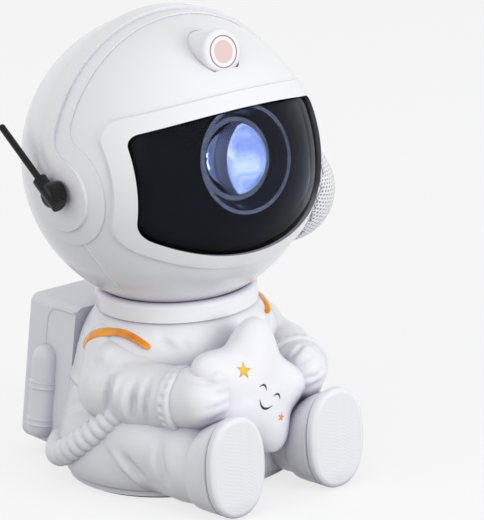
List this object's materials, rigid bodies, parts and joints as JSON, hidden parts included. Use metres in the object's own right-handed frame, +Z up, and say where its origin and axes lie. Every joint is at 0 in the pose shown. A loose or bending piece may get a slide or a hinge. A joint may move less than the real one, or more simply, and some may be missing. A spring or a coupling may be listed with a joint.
{
  "type": "star projector",
  "caption": "Seated astronaut figure whose turning, tilting helmet holds a nebula lens behind a dark visor and a laser star lens on the forehead.",
  "frame": {"origin": "middle of the underside of the pad the figure sits on", "axes": "+Z up, the figure faces -Y and its left hand is towards +X"},
  "size_m": [0.139, 0.137, 0.1984],
  "materials": {
    "white_plastic": "smooth white moulded plastic with a soft gloss",
    "star_plastic": "white moulded plastic with a printed face",
    "pack_plastic": "slightly greyer white moulded plastic",
    "hose_plastic": "white moulded plastic",
    "orange_paint": "glossy amber paint on raised plastic",
    "base_plastic": "plain white plastic",
    "pad_rubber": "thin black non-slip rubber",
    "screw_steel": "plain steel",
    "magnet_metal": "nickel-plated magnet",
    "visor_plastic": "dark smoked glossy clear plastic",
    "black_plastic": "black plastic",
    "lens_glass": "clear moulded lens",
    "laser_glass": "small tinted clear window",
    "laser_brass": "turned brass",
    "wheel_plastic": "clear rippled plastic",
    "pinion_plastic": "natural nylon",
    "motor_steel": "plated steel can",
    "sink_metal": "plain aluminium",
    "board_resin": "green circuit board",
    "antenna_plastic": "glossy black plastic",
    "button_plastic": "grey plastic"
  },
  "bodies": {
    "body": {"base_pad": "pad_rubber", "base_plate": "base_plastic", "base_screws": "screw_steel", "left_arm": "white_plastic", "left_boot": "white_plastic", "left_cuff": "white_plastic", "left_glove": "white_plastic", "left_hose": "hose_plastic", "left_leg": "white_plastic", "left_sole": "white_plastic", "left_stripe": "orange_paint", "left_tank": "pack_plastic", "magnet_cap": "white_plastic", "neck_collar": "white_plastic", "neck_seat": "white_plastic", "pack_cover": "pack_plastic", "pack_housing": "pack_plastic", "right_arm": "white_plastic", "right_boot": "white_plastic", "right_cuff": "white_plastic", "right_glove": "white_plastic", "right_hose": "hose_plastic", "right_leg": "white_plastic", "right_sole": "white_plastic", "right_stripe": "orange_paint", "right_tank": "pack_plastic", "star": "star_plastic", "torso_front": "white_plastic", "torso_rear": "white_plastic"},
    "head": {"crown_band": "white_plastic", "drive_motor": "motor_steel", "frame_screws": "screw_steel", "heat_sink": "sink_metal", "helmet_front": "white_plastic", "helmet_rear": "white_plastic", "laser_barrel": "white_plastic", "laser_lens": "laser_glass", "laser_module": "laser_brass", "laser_trim": "white_plastic", "led_board": "board_resin", "lens_ring": "black_plastic", "main_board": "board_resin", "nebula_lens": "lens_glass", "optics_frame": "black_plastic", "speaker": "black_plastic", "speaker_grille": "white_plastic", "steel_disc": "screw_steel", "usb_socket": "screw_steel", "visor": "visor_plastic", "visor_liner": "black_plastic"},
    "neck_magnet": {"neck_magnet": "magnet_metal"},
    "antenna": {"antenna_hub": "antenna_plastic", "antenna_rod": "antenna_plastic"},
    "nebula_wheel": {"nebula_wheel": "wheel_plastic"},
    "drive_pinion": {"drive_pinion": "pinion_plastic"},
    "laser_button": {"laser_button": "button_plastic"},
    "power_button": {"power_button": "button_plastic"},
    "nebula_button": {"nebula_button": "button_plastic"}
  },
  "joints": [
    {"name": "head_turn", "type": "hinge", "parent": "body", "child": "neck_magnet", "pos_m": [0, 0, 0.1342], "axis": [0, 0, 1], "continuous": true},
    {"name": "head_tilt", "type": "hinge", "parent": "neck_magnet", "child": "head", "pos_m": [0, 0, 0.1342], "axis": [1, 0, 0], "range_deg": [-20, 14]},
    {"name": "antenna_turn", "type": "hinge", "parent": "head", "child": "antenna", "pos_m": [-0.064, -0.012, 0.1342], "axis": [1, 0, 0], "continuous": true},
    {"name": "nebula_spin", "type": "hinge", "parent": "head", "child": "nebula_wheel", "pos_m": [0, -0.0325, 0.13993], "axis": [0, -0.9848, 0.1736], "continuous": true},
    {"name": "pinion_spin", "type": "hinge", "parent": "head", "child": "drive_pinion", "pos_m": [-0.00893, -0.03676, 0.11577], "axis": [0, -0.9848, 0.1736], "continuous": true},
    {"name": "laser_button_press", "type": "slide", "parent": "head", "child": "laser_button", "axis": [0, -1, 0], "range_m": [0, 0.0012], "stiffness_N_per_m": 200, "springref_m": -0.003},
    {"name": "power_button_press", "type": "slide", "parent": "head", "child": "power_button", "axis": [0, -1, 0], "range_m": [0, 0.0012], "stiffness_N_per_m": 200, "springref_m": -0.003},
    {"name": "nebula_button_press", "type": "slide", "parent": "head", "child": "nebula_button", "axis": [0, -1, 0], "range_m": [0, 0.0012], "stiffness_N_per_m": 200, "springref_m": -0.003}
  ],
  "couplings": [
    {"joint": "pinion_spin", "follows": "nebula_spin", "ratio": -3.3333}
  ]
}
